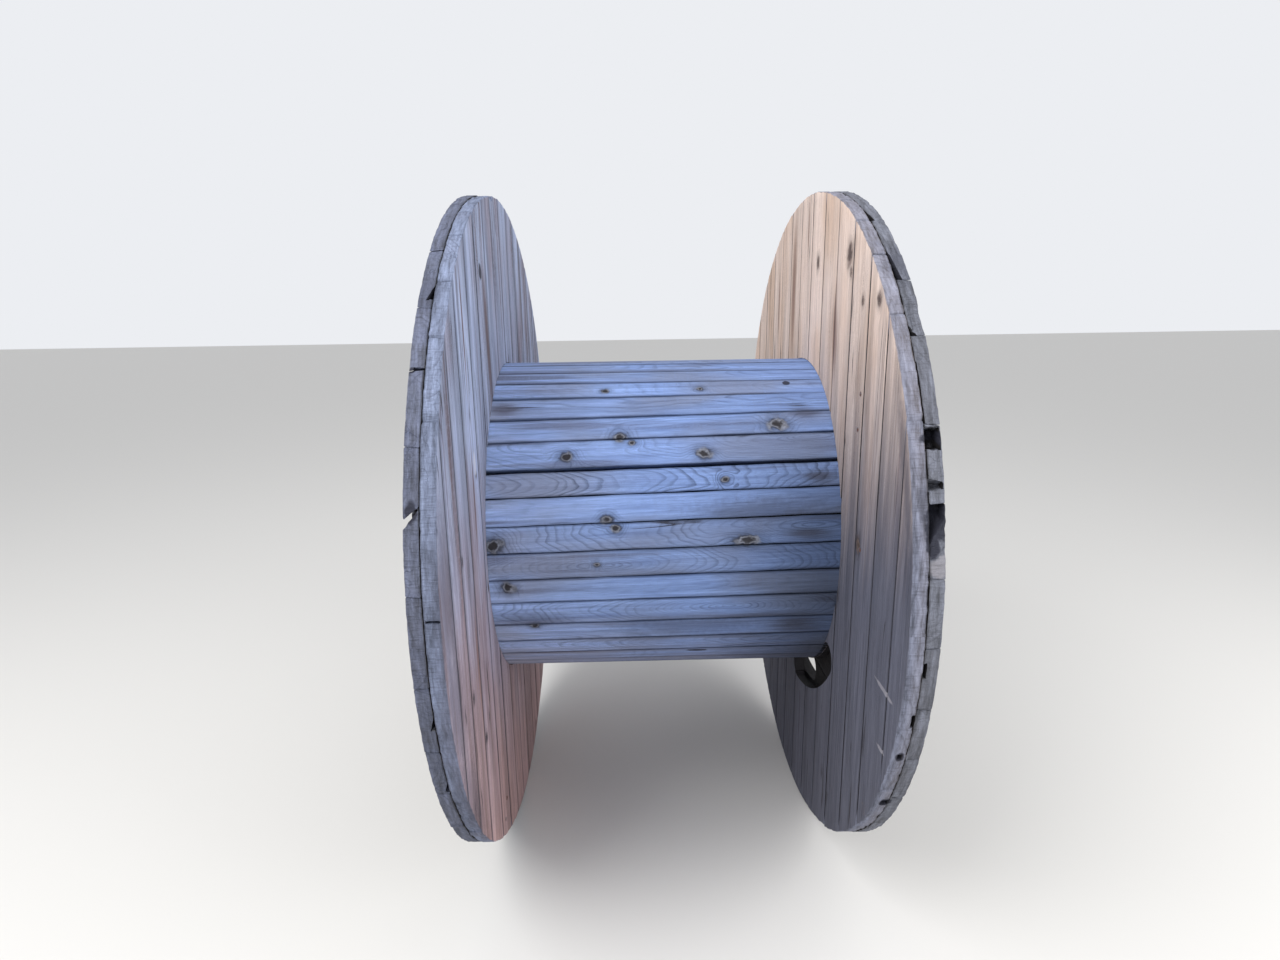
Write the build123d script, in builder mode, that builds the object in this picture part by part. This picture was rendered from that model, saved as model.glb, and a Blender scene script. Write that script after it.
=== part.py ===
from build123d import *
from math import asin, atan, ceil, degrees, floor, hypot
import os

# Wooden cable drum: two round flanges of crossed boards on a barrel of staves.
# It lies on its flange rims. X runs along the arbor, +Z is up, and the origin is
# on the ground under the middle of the barrel. The left flange is at -X and the
# front of the drum at -Y. All sizes are in millimetres, angles in degrees.

# Flanges: the inner boards stand upright, the outer boards lie across them
flange_diameter = 1800
inner_board_thickness = 32
outer_board_thickness = 30
inner_board_pitch = 126.5  # from one joint to the next
outer_board_pitch = 135
board_joint = 1.5  # open joint between two boards
narrowest_board = 40  # a thinner strip at the rim stays one with its neighbour
left_upright_joint = 0  # the joint nearest the arbor, measured from front to back
right_upright_joint = -49
left_level_joint = -11  # the joint nearest the arbor, measured upwards
right_level_joint = -25

# Barrel
inner_width = 866  # between the two flanges
barrel_diameter = 898  # across the faces of opposite staves
stave_width = 62.5
stave_thickness = 32
stave_joint = 1.5  # at the inner corners, so the joint opens outwards
first_stave_angle = 181.3
groove_depth = 12  # round groove in each flange that holds the stave ends
groove_clearance = 0.5

# Tie rods that pull the flanges onto the barrel
rod_count = 6
rod_diameter = 20
rod_inset = 30  # from the inside of the barrel to the middle of a rod
rod_hole_clearance = 0.8
first_rod_angle = 15
thread_clearance = 0.2
washer_width = 70
washer_thickness = 6
nut_across_flats = 30
nut_height = 16
rod_end = 8  # bare thread past the nut

arbor_diameter = 80

# Start hole in the right flange, where the inner end of a cable leaves the barrel:
# a long slot round the barrel in the inner boards, and a shorter one further round
# in the outer boards. Angles are taken down from the front and on under the barrel.
start_slot_width = 85
start_slot_angles = (34, 87)
start_exit_width = 75
start_exit_angles = (70, 102)

# Wear at the front rim, all in the outer boards. A bite is given by its height above
# the arbor, its size up and down, and its depth in from the rim.
right_bites = ((366, 38, 12), (236, 22, 10))
chip_top = 259  # the joint above the board whose outer corner is gone
chip_size = 34
chip_depth = 60

flange_radius = flange_diameter / 2
inner_face = inner_width / 2
layer_joint = inner_face + inner_board_thickness
outer_face = layer_joint + outer_board_thickness
barrel_radius = barrel_diameter / 2
barrel_corner = hypot(barrel_radius, stave_width / 2)
barrel_inside = barrel_radius - stave_thickness
stave_reach = inner_face + groove_depth
half_stave_step = degrees(atan((stave_width + stave_joint) / 2 / barrel_inside))
stave_count = floor(180 / half_stave_step)
groove_outer = barrel_corner + groove_clearance
groove_inner = barrel_inside - groove_clearance
rod_radius = rod_diameter / 2
washer_hole = rod_diameter + 2 * rod_hole_clearance
rod_circle = barrel_inside - rod_inset
washer_face = outer_face + washer_thickness
nut_face = washer_face + nut_height
rod_reach = nut_face + rod_end


def across(x):
    # Plane square to the arbor at x, centred on it, with its own axes to the back and up
    return Plane(origin=(x, 0, flange_radius), x_dir=(0, 1, 0), z_dir=(1, 0, 0))


def board_joints(pitch, middle_joint):
    # Places of the joints across a flange, from one edge to the other
    reach = flange_radius - narrowest_board
    first = ceil((-reach - middle_joint) / pitch)
    last = floor((reach - middle_joint) / pitch)
    return [middle_joint + pitch * step for step in range(first, last + 1)]


def layer_outline(joints, upright):
    # The boards of one layer, sawn round, with the arbor and rod holes through them
    Circle(flange_radius)
    Circle(arbor_diameter / 2, mode=Mode.SUBTRACT)
    with PolarLocations(rod_circle, rod_count, start_angle=first_rod_angle):
        Circle(rod_radius + rod_hole_clearance, mode=Mode.SUBTRACT)
    with Locations(*[(joint, 0) if upright else (0, joint) for joint in joints]):
        Rectangle(
            board_joint if upright else flange_diameter,
            flange_diameter if upright else board_joint,
            mode=Mode.SUBTRACT,
        )


def start_slot(width, angles):
    # A slot with round ends that follows the barrel, just outside its groove
    middle = groove_outer + width / 2
    cap = degrees(asin(width / 2 / middle))
    sweep = angles[1] - angles[0] - 2 * cap
    with BuildLine() as centre_line:
        CenterArc((0, 0), middle, 180 + angles[0] + cap, sweep)
    SlotArc(arc=centre_line.edge(), height=width)


def rim_reach(height):
    # How far in front of the arbor the rim is at this height
    return (flange_radius**2 - height**2) ** 0.5


def inner_boards(side, middle_joint, slotted):
    # Upright boards against the barrel, with the groove for the stave ends
    with BuildPart() as layer:
        with BuildSketch(across(side * inner_face)):
            layer_outline(board_joints(inner_board_pitch, middle_joint), True)
        extrude(amount=side * inner_board_thickness)
        with BuildSketch(across(side * inner_face)):
            Circle(groove_outer)
            Circle(groove_inner, mode=Mode.SUBTRACT)
        extrude(amount=side * groove_depth, mode=Mode.SUBTRACT)
        if slotted:
            with BuildSketch(across(side * inner_face)):
                start_slot(start_slot_width, start_slot_angles)
            extrude(amount=side * inner_board_thickness, mode=Mode.SUBTRACT)
    return layer.part


def outer_boards(side, middle_joint, slotted):
    # Level boards nailed over the upright ones
    with BuildPart() as layer:
        with BuildSketch(across(side * layer_joint)):
            layer_outline(board_joints(outer_board_pitch, middle_joint), False)
        extrude(amount=side * outer_board_thickness)
        if slotted:
            with BuildSketch(across(side * layer_joint)):
                start_slot(start_exit_width, start_exit_angles)
                for height, size, depth in right_bites:
                    with Locations((-rim_reach(height), height)):
                        Rectangle(2 * depth, size)
            extrude(amount=side * outer_board_thickness, mode=Mode.SUBTRACT)
        else:
            # The corner gapes outwards from nothing at the layer joint
            corner = Plane(
                origin=(side * layer_joint, -rim_reach(chip_top) - chip_depth, flange_radius + chip_top),
                x_dir=(side, 0, 0),
                z_dir=(0, 1, 0),
            )
            with BuildSketch(corner):
                Polygon(
                    (0, 0), (outer_board_thickness, 0), (outer_board_thickness, -chip_size), align=None
                )
            extrude(amount=2 * chip_depth, mode=Mode.SUBTRACT)
    return layer.part


left_inner = inner_boards(-1, left_upright_joint, False)
left_outer = outer_boards(-1, left_level_joint, False)
right_inner = inner_boards(1, right_upright_joint, True)
right_outer = outer_boards(1, right_level_joint, True)

# Staves: flat boards set round in a ring, their ends on the floor of the grooves
with BuildPart() as staves:
    with BuildSketch(across(-stave_reach)):
        with PolarLocations(
            barrel_radius - stave_thickness / 2, stave_count, start_angle=first_stave_angle
        ):
            Rectangle(stave_thickness, stave_width)
    extrude(amount=2 * stave_reach)

# Threaded rods through both flanges, just inside the staves
with BuildPart() as rods:
    with BuildSketch(across(-rod_reach)):
        with PolarLocations(rod_circle, rod_count, start_angle=first_rod_angle):
            Circle(rod_radius)
    extrude(amount=2 * rod_reach)

# Square plate washers on the outside of the flanges, with square holes
with BuildPart() as washers:
    for side in (-1, 1):
        with BuildSketch(across(side * outer_face)):
            with PolarLocations(rod_circle, rod_count, start_angle=first_rod_angle):
                Rectangle(washer_width, washer_width)
                Rectangle(washer_hole, washer_hole, mode=Mode.SUBTRACT)
        extrude(amount=side * washer_thickness)

with BuildPart() as nuts:
    for side in (-1, 1):
        with BuildSketch(across(side * washer_face)):
            with PolarLocations(rod_circle, rod_count, start_angle=first_rod_angle):
                RegularPolygon(nut_across_flats / 2, 6, major_radius=False)
                Circle(rod_radius + thread_clearance, mode=Mode.SUBTRACT)
        extrude(amount=side * nut_height)

os.makedirs("parts", exist_ok=True)
pieces = {
    "left_inner_boards": left_inner,
    "left_outer_boards": left_outer,
    "right_inner_boards": right_inner,
    "right_outer_boards": right_outer,
    "barrel_staves": staves.part,
    "tie_rods": rods.part,
    "rod_washers": washers.part,
    "rod_nuts": nuts.part,
}
for name, piece in pieces.items():
    piece.label = name
    export_step(piece, f"parts/{name}.step")
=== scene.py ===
import math
import random
from functools import partial

import bpy
import numpy as np
from mathutils import Matrix, Vector


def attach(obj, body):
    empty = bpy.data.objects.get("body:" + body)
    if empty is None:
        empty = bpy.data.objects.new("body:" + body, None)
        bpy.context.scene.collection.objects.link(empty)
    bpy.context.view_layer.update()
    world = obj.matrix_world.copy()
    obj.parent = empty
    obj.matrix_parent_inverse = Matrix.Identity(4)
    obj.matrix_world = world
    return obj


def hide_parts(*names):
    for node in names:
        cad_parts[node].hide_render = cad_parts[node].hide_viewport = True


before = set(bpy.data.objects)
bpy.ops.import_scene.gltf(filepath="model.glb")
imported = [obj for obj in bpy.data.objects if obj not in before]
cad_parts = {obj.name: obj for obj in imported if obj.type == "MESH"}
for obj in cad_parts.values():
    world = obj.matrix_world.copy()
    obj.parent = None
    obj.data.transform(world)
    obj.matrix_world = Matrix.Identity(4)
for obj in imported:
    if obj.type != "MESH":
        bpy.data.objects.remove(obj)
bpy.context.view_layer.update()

arborHeight = 0.9  # the drum lies on its rims, so this is its radius too
innerFace = 0.433  # inside of each flange, from the middle of the barrel
layerJoint = 0.465  # where the two layers of boards meet
outerFace = 0.495
hair = 1e-4  # less than any real distance on the drum


def choose(*pieces):
    # Select only these, with the first one active
    bpy.ops.object.select_all(action="DESELECT")
    for piece in pieces:
        piece.select_set(True)
    bpy.context.view_layer.objects.active = pieces[0]


def makePiece(operator, name, **settings):
    # A new mesh that has its place, turn and scale in its points
    operator(**settings)
    piece = bpy.context.object
    piece.name = name
    bpy.ops.object.transform_apply(location=True, rotation=True, scale=True)
    return piece


def copyPiece(piece, name):
    twin = piece.copy()
    twin.data = piece.data.copy()
    twin.name = name
    bpy.context.collection.objects.link(twin)
    return twin


def joinPieces(pieces, name):
    choose(*pieces)
    bpy.ops.object.join()
    pieces[0].name = name
    return pieces[0]


def cutWith(piece, tool, operation="DIFFERENCE"):
    choose(piece)
    cut = piece.modifiers.new("cut", "BOOLEAN")
    cut.object = tool
    cut.operation = operation
    cut.solver = "MANIFOLD"
    bpy.ops.object.modifier_apply(modifier="cut")
    bpy.data.objects.remove(tool, do_unlink=True)


def editWhole(piece, operator, **settings):
    choose(piece)
    bpy.ops.object.mode_set(mode="EDIT")
    bpy.ops.mesh.select_all(action="SELECT")
    operator(**settings)
    bpy.ops.object.mode_set(mode="OBJECT")


def editEdges(piece, keep, operator, **settings):
    # On the edges whose two ends pass the test
    choose(piece)
    bpy.ops.object.mode_set(mode="EDIT")
    bpy.ops.mesh.select_mode(type="EDGE")
    bpy.ops.mesh.select_all(action="DESELECT")
    bpy.ops.object.mode_set(mode="OBJECT")
    points = [v.co for v in piece.data.vertices]
    for edge in piece.data.edges:
        edge.select = keep(points[edge.vertices[0]], points[edge.vertices[1]])
    bpy.ops.object.mode_set(mode="EDIT")
    operator(**settings)
    bpy.ops.object.mode_set(mode="OBJECT")


def bevelEdges(piece, keep, offset, segments=1, **settings):
    editEdges(piece, keep, bpy.ops.mesh.bevel, offset=offset, segments=segments, affect="EDGES", **settings)


def faceOutward(piece):
    editWhole(piece, bpy.ops.mesh.normals_make_consistent, inside=False)


def sawnBoard(name, board):
    # A plain board along Z, with eased long edges and cuts that let it warp
    size = (board["thickness"], board["width"], board["length"])
    piece = makePiece(bpy.ops.mesh.primitive_cube_add, name, size=1, scale=size)
    half = Vector(size) / 2
    for axis, cuts in ((1, board["cutsAcross"]), (2, board["cutsAlong"])):
        editEdges(piece, lambda a, b: abs(a[axis] - b[axis]) > half[axis],
                  bpy.ops.mesh.subdivide, number_cuts=cuts)
    corner = half - Vector((hair, hair, hair))
    bevelEdges(piece, lambda a, b: abs(a.z - b.z) > hair and min(abs(a.x), abs(b.x)) > corner.x
               and min(abs(a.y), abs(b.y)) > corner.y, board["easedEdge"], 2, clamp_overlap=False)
    faceOutward(piece)
    return piece


def fitBoard(template, board, thickness, width):
    # A copy brought to its own width and thickness, with the eased edges left as they are
    twin = copyPiece(template, "board")
    points = meshPoints(twin)
    for axis, old, new in ((0, board["thickness"], thickness), (1, board["width"], width)):
        flat = old / 2 - board["easedEdge"]
        far = np.abs(points[:, axis])
        moved = np.where(far > flat, far + (new - old) / 2, far * (new / 2 - board["easedEdge"]) / flat)
        points[:, axis] = np.sign(points[:, axis]) * moved
    return twin, points


def wave(place, pitch, seed):
    # Smooth rise and fall between -1 and 1, for wear and warp
    return (np.sin(place / pitch * 6.28 + seed * 7.1) * 0.6
            + np.sin(place / pitch * 14.3 + seed * 3.7) * 0.4)


def meshPoints(piece):
    points = np.empty(len(piece.data.vertices) * 3)
    piece.data.vertices.foreach_get("co", points)
    return points.reshape(-1, 3)


def writePoints(piece, points):
    piece.data.vertices.foreach_set("co", points.ravel())
    piece.data.update()


def growBoard(rng, wood):
    # How a board was sawn from its trunk: seed, pith sideways, pith depth, lean, ring strength
    lean = rng.uniform(-1, 1)
    return [rng.random(), rng.uniform(-1, 1) * wood["pithSide"], -rng.uniform(*wood["pithDepth"]),
            lean * abs(lean) * wood["lean"], rng.uniform(0.25, 0.8)]


def markGrain(piece, place, board, toEdge):
    # Where each point lies in its own board, and what board it is, for the wood to follow
    traits = np.stack([board[:, 0], board[:, 4], toEdge], 1)
    for name, values in (("grainPlace", place), ("boardPith", board[:, 1:4]), ("boardTraits", traits)):
        layer = piece.data.attributes.new(name, "FLOAT_VECTOR", "POINT")
        layer.data.foreach_set("vector", np.ascontiguousarray(values).ravel())


def smoothByAngle(piece, degrees):
    choose(piece)
    bpy.ops.object.shade_smooth_by_angle(angle=math.radians(degrees))


def rimChip(chip, side, seed):
    # Cutter for a broken place, torn a little out of shape
    angle, through, depth, height, special = chip
    shape = {**chipShape, **special}
    piece = makePiece(bpy.ops.mesh.primitive_cube_add, "chip", size=1)
    editWhole(piece, bpy.ops.mesh.subdivide, number_cuts=5)
    editWhole(piece, bpy.ops.transform.vertex_random, offset=0.05, uniform=1.0, normal=0.0, seed=seed)
    share = meshPoints(piece) + 0.5
    outside = 0.02  # how far the cutter stands out of the rim
    inward = np.clip(((1 - share[:, 1]) * (depth + outside) - outside) / depth, 0, 1)
    narrowed = (1 - shape["narrowInwards"] * inward**2) * (1 - shape["narrowToJoint"] * (1 - share[:, 0]))
    radius = arborHeight + outside - (1 - share[:, 1]) * (depth + outside)
    held = shape["held"] / 2
    sideways = height * (held + (share[:, 2] - 0.5 - held) * narrowed)
    angle = math.radians(angle)
    reach = (through[1] - through[0]) * (1 - shape["thinAbove"] * share[:, 2])
    writePoints(piece, np.stack([
        side * (through[0] + reach * share[:, 0]),
        -radius * math.cos(angle) + sideways * math.sin(angle),
        arborHeight + radius * math.sin(angle) + sideways * math.cos(angle)], 1))
    faceOutward(piece)
    return piece


def drill(name, radius, y, z, low, high, corners):
    return makePiece(
        bpy.ops.mesh.primitive_cylinder_add, name, vertices=corners, radius=radius, depth=high - low,
        location=((low + high) / 2, y, z), rotation=(0, math.pi / 2, 0))


def arcSlot(name, inside, width, angles, low, high):
    # Cutters for a slot with round ends that follows the barrel
    middle = inside + width / 2
    cap = math.degrees(math.asin(width / 2 / middle))
    start, end = math.radians(angles[0] + cap), math.radians(angles[1] - cap)
    piece = makePiece(bpy.ops.mesh.primitive_plane_add, name, size=1)
    piece.scale = (high - low, width, 1)
    bpy.ops.object.transform_apply(location=False, rotation=False, scale=True)
    turn = Matrix.Rotation(start, 4, "X")
    piece.data.transform(Matrix.Translation((0, 0, arborHeight)) @ turn
                         @ Matrix.Translation(((low + high) / 2, -middle, 0)))
    editWhole(piece, bpy.ops.mesh.spin, steps=20, angle=end - start,
              center=(0, 0, arborHeight), axis=(-1, 0, 0))
    faceOutward(piece)
    ends = [drill(name + "End", width / 2, -middle * math.cos(turned),
                  arborHeight - middle * math.sin(turned), low - 0.001, high + 0.001, 40)
            for turned in (start, end)]
    return [piece] + ends


# Flange boards

tieRods = {"count": 6, "circle": 0.387, "firstAngle": 15, "holeRadius": 0.0108}
rodAngles = [math.radians(tieRods["firstAngle"] + number * 360 / tieRods["count"])
             for number in range(tieRods["count"])]
barrelGroove = {"outside": 0.4506, "inside": 0.4165, "depth": 0.012}
arborHoleRadius = 0.04
startHole = {"inside": 0.4506, "width": 0.085, "angles": (34, 87),
             "exitWidth": 0.075, "exitAngles": (70, 102)}

# A chip is a broken place at the rim: its middle as an angle above the front, where it starts
# and ends along the arbor, its depth in from the rim, its size round it, and what isn't usual
chipShape = {
    "narrowInwards": 0.3,  # share of its size that it loses towards the arbor
    "narrowToJoint": 0,  # the same towards the layer joint
    "held": 0,  # the side that doesn't narrow: 1 the upper, -1 the lower
    "thinAbove": 0,  # share of its thickness that it loses upwards
}
flangeLayers = [  # joints are measured from the arbor, to the back or upwards
    {
        "name": "leftInnerBoards", "node": "left_inner_boards", "side": -1, "upright": True, "seed": 11,
        "joints": [
            -0.802, -0.708, -0.607, -0.478, -0.362, -0.243, -0.128, 0, 0.1265, 0.253, 0.3795, 0.506,
            0.6325, 0.759,
        ],
        "chips": [
            (84, (0.427, 0.441), 0.012, 0.05, {"narrowInwards": 0.6}),
            (3.2, (0.4350, 0.463), 0.020, 0.006, {}),
        ],
    },
    {
        "name": "leftOuterBoards", "node": "left_outer_boards", "side": -1, "upright": False, "seed": 23,
        "hangingJoint": 8,  # the one at the broken corner
        "joints": [
            -0.776, -0.641, -0.506, -0.371, -0.240, -0.085, 0.098, 0.259, 0.362, 0.495, 0.611, 0.727,
            0.845,
        ],
        "chips": [
            (15.3, (0.466, 0.500), 0.06, 0.050, {"narrowInwards": 0.2, "narrowToJoint": 0.85, "held": 1}),
            (33.4, (0.463, 0.486), 0.03, 0.016, {"narrowInwards": 0.8, "held": 1}),
            (45.5, (0.463, 0.479), 0.045, 0.045, {"held": -1, "thinAbove": 0.85}),
            (-10.7, (0.463, 0.474), 0.045, 0.034, {"narrowInwards": 0.5, "held": -1, "thinAbove": 0.8}),
            (-22.7, (0.463, 0.475), 0.045, 0.034, {"held": -1, "thinAbove": 0.85}),
        ],
    },
    {
        "name": "rightInnerBoards", "node": "right_inner_boards", "side": 1, "upright": True, "seed": 35,
        "joints": [
            -0.808, -0.681, -0.555, -0.432, -0.302, -0.1755, -0.049, 0.0775, 0.204, 0.3305, 0.457,
            0.5835, 0.71, 0.8365,
        ],
        "chips": [
            (-12.2, (0.457, 0.468), 0.040, 0.035, {"narrowInwards": 0.7}),
            (-18.5, (0.446, 0.457), 0.035, 0.016, {"narrowInwards": 0.7}),
            (-29.8, (0.448, 0.468), 0.040, 0.024, {"narrowInwards": 0.7}),
        ],
    },
    {
        "name": "rightOuterBoards", "node": "right_outer_boards", "side": 1, "upright": False, "seed": 47,
        "joints": [
            -0.835, -0.70, -0.565, -0.43, -0.295, -0.16, -0.025, 0.112, 0.247, 0.385, 0.5445, 0.652,
            0.784,
        ],
        "chips": [
            (23.8, (0.460, 0.4925), 0.036, 0.045, {"held": 1}),
            (15.2, (0.463, 0.492), 0.030, 0.030, {"narrowToJoint": -1.8, "held": 1}),
            (11.6, (0.460, 0.500), 0.006, 0.085, {"narrowInwards": 0.5}),
            (18.2, (0.463, 0.492), 0.020, 0.014, {"narrowInwards": 0.6, "narrowToJoint": -0.9}),
            (50.2, (0.462, 0.477), 0.090, 0.124, {"held": -1, "thinAbove": 0.85}),
            (63.0, (0.462, 0.475), 0.090, 0.080, {"held": -1, "thinAbove": 0.85}),
            (38.0, (0.462, 0.479), 0.060, 0.026, {"held": -1, "thinAbove": 0.85}),
            (40.0, (0.470, 0.500), 0.007, 0.080, {"narrowInwards": 0.5}),
            (29.5, (0.463, 0.467), 0.030, 0.130, {"narrowInwards": 0.5}),
            (-4.6, (0.463, 0.472), 0.040, 0.034, {"narrowInwards": 0.7}),
        ],
    },
]

layerLook = {
    "board": {"thickness": 0.031, "width": 0.128, "length": 1.84,
              "cutsAcross": 5, "cutsAlong": 40, "easedEdge": 0.0026},
    # for the inner and the outer layer
    "jointWidth": (0.0030, 0.0007), "rubbed": (0.0003, 0.0001),
    "endWear": (0.0030, 0.0009), "edgeWear": (0.0020, 0.0014),
    # how far a joint strays and leans, and where its corner hangs down at the broken place
    "wander": 0.0016, "offSquare": 0.0012, "hang": 0.022, "hangFrom": 0.74, "hangOver": 0.10,
    "overhang": 0.004,  # what the saw takes off the two outermost boards
    "thinner": 0.0012, "bend": 0.0003, "lift": 0.0012,  # the most for a board
    "rimInside": 0.0006, "rimEase": 0.0024, "rimCorners": 540,
    # where the wear of the rim starts from the arbor, and what it leaves alone above the ground
    "wornFrom": 0.86, "wornOver": 0.03, "groundKept": 0.0135, "groundOver": 0.0225,
    "rimWear": 0.0012, "edgeReach": 0.009, "nick": 0.008, "nickFrom": 0.70,
    "rubTurns": (23, 61, 97, 143, 189, 229), "nickTurns": (41, 67),  # waves round the rim
    "wood": {"pithSide": 0.07, "pithDepth": (0.024, 0.095), "lean": 0.06},
}


def jointDrift(layer, number, along, outward):
    # How far a joint strays from its straight line, the same for the boards on both sides of it
    drift = wave(along, 0.8, layer["seed"] + number) * layerLook["wander"]
    drift -= (-1) ** number * outward * layerLook["offSquare"] * (not layer["upright"])
    if number == layer.get("hangingJoint"):
        front = np.clip((-along - layerLook["hangFrom"]) / layerLook["hangOver"], 0, 1)
        drift -= layerLook["hang"] * (0.5 + outward / 2) * front**2
    return drift


def layBoards(layer, template):
    look = layerLook
    rng = random.Random(layer["seed"])
    outer = 0 if layer["upright"] else 1
    near = innerFace if layer["upright"] else layerJoint
    thickness = (layerJoint - innerFace) if layer["upright"] else (outerFace - layerJoint)
    middle = layer["side"] * (near + thickness / 2)
    rim = arborHeight + look["overhang"]
    edges = np.array([-rim] + layer["joints"] + [rim])
    boards = []
    for number, (low, high) in enumerate(zip(edges, edges[1:])):
        width = high - low - look["jointWidth"][outer] * rng.uniform(0.6, 1.5)
        board, points = fitBoard(template, look["board"], thickness - rng.uniform(0, look["thinner"]), width)
        bend, rubbing = rng.uniform(-1, 1), rng.random() * 9
        through, across, along = points.T.copy()
        edgeness = np.abs(across) / (width / 2)
        outward = layer["side"] * through * 2 / thickness
        drift = np.where(across > 0, jointDrift(layer, number + 1, along, outward),
                         jointDrift(layer, number, along, outward))
        rubbed = (1 + wave(along, 0.37, rubbing)) * look["rubbed"][outer]
        across += edgeness**6 * (drift - np.sign(across) * rubbed)
        through += bend * look["bend"] * (1 - edgeness**2) * np.sign(through)
        across += (low + high) / 2
        spread = (across, along) if layer["upright"] else (along, across)
        writePoints(board, np.stack([through + middle, spread[0], spread[1] + arborHeight], 1))
        faceOutward(board)
        for place, chip in enumerate(layer["chips"]):
            angle = math.radians(chip[0])
            if low < arborHeight * (-math.cos(angle) if layer["upright"] else math.sin(angle)) < high:
                cutWith(board, rimChip(chip, layer["side"], layer["seed"] + place))
        boards.append(board)
    piece = joinPieces(boards, layer["name"])

    # Sawn round, with the rim's two edges eased
    saw = drill("saw", arborHeight - look["rimInside"], 0, arborHeight, middle - thickness / 2 - hair,
                middle + thickness / 2 + hair, look["rimCorners"])
    bevelEdges(saw, lambda a, b: abs(a.x - b.x) < hair, look["rimEase"], 2, clamp_overlap=False)
    cutWith(piece, saw, "INTERSECT")

    low, high = middle - thickness, middle + thickness
    holes = [drill("arbor", arborHoleRadius, 0, arborHeight, low, high, 64)]
    for angle in rodAngles:
        holes.append(drill("rodHole", tieRods["holeRadius"], tieRods["circle"] * math.cos(angle),
                           arborHeight + tieRods["circle"] * math.sin(angle), low, high, 24))
    cutWith(piece, joinPieces(holes, "holes"))
    if layer["side"] > 0:
        width = startHole["width"] if layer["upright"] else startHole["exitWidth"]
        angles = startHole["angles"] if layer["upright"] else startHole["exitAngles"]
        for part in arcSlot("startSlot", startHole["inside"], width, angles, low, high):
            cutWith(piece, part)
    if layer["upright"]:
        face = layer["side"] * near
        ring = drill("groove", barrelGroove["outside"], 0, arborHeight,
                     face - barrelGroove["depth"], face + barrelGroove["depth"], 164)
        hollow = drill("hollow", barrelGroove["inside"], 0, arborHeight, low - 0.1, high + 0.1, 164)
        cutWith(ring, hollow)
        cutWith(piece, ring)

    # Worn ends: each board stops a little short of the round, its edges are rubbed and
    # nicked, and the outer boards lift a little at their ends. The ground side keeps its shape.
    points = meshPoints(piece)
    y, z = points[:, 1], points[:, 2] - arborHeight
    acrossAll, alongAll = (y, z) if layer["upright"] else (z, y)
    outward = layer["side"] * (points[:, 0] - middle) * 2 / thickness
    index = sum((acrossAll > joint + jointDrift(layer, number + 1, alongAll, outward)).astype(int)
                for number, joint in enumerate(layer["joints"]))
    angle, radius = np.arctan2(z, y), np.hypot(y, z)
    offGround = np.clip((points[:, 2] - look["groundKept"]) / look["groundOver"], 0, 1)
    atRim = np.clip((radius - look["wornFrom"]) / look["wornOver"], 0, 1) * offGround
    endShort = np.array([[rng.uniform(0, 1) ** 2 for end in range(2)] for low in edges])
    short = endShort[index, (alongAll > 0).astype(int)] * look["endWear"][outer]
    phase = [rng.uniform(0, 6.28) for number in range(6)]
    rubbed = sum(np.sin(angle * turns + start + index) for turns, start in zip(look["rubTurns"], phase)) / 6
    first, second = (np.sin(angle * turns + start) for turns, start in zip(look["nickTurns"], phase[1:]))
    nick = np.clip(first * second - look["nickFrom"], 0, 1) * look["nick"]
    fromMiddle = np.abs(points[:, 0] - middle)
    atEdge = np.clip(1 - (thickness / 2 - fromMiddle) / look["edgeReach"], 0, 1)
    wear = short + look["rimWear"] * np.maximum(rubbed + 0.5, 0)
    wear += atEdge * (look["edgeWear"][outer] * (0.5 + rubbed) + nick)
    shrink = 1 - atRim * np.maximum(wear, 0) / arborHeight
    points[:, 1] = y * shrink
    points[:, 2] = arborHeight + z * shrink
    lift = np.array([max(rng.uniform(-1, 1), 0) for low in edges])
    outmost = np.clip(np.abs(alongAll) / arborHeight, 0, 1) ** 6
    points[:, 0] += layer["side"] * outer * lift[index] * look["lift"] * outmost
    writePoints(piece, points)

    centre, halfWidth = (edges[1:] + edges[:-1]) / 2, (edges[1:] - edges[:-1]) / 2
    grown = np.array([growBoard(rng, look["wood"]) for low in centre])
    offCentre = acrossAll - centre[index]
    markGrain(piece, np.stack([alongAll, offCentre, points[:, 0] - middle], 1), grown[index],
              halfWidth[index] - np.abs(offCentre))
    smoothByAngle(piece, 32)
    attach(piece, "root")
    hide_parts(layer["node"])
    return piece


flangeBoard = sawnBoard("flangeBoard", layerLook["board"])
flangePieces = {layer["name"]: layBoards(layer, flangeBoard) for layer in flangeLayers}
bpy.data.objects.remove(flangeBoard, do_unlink=True)
print("flange boards laid, faces:", {name: len(piece.data.polygons) for name, piece in flangePieces.items()})

# Barrel staves

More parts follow.
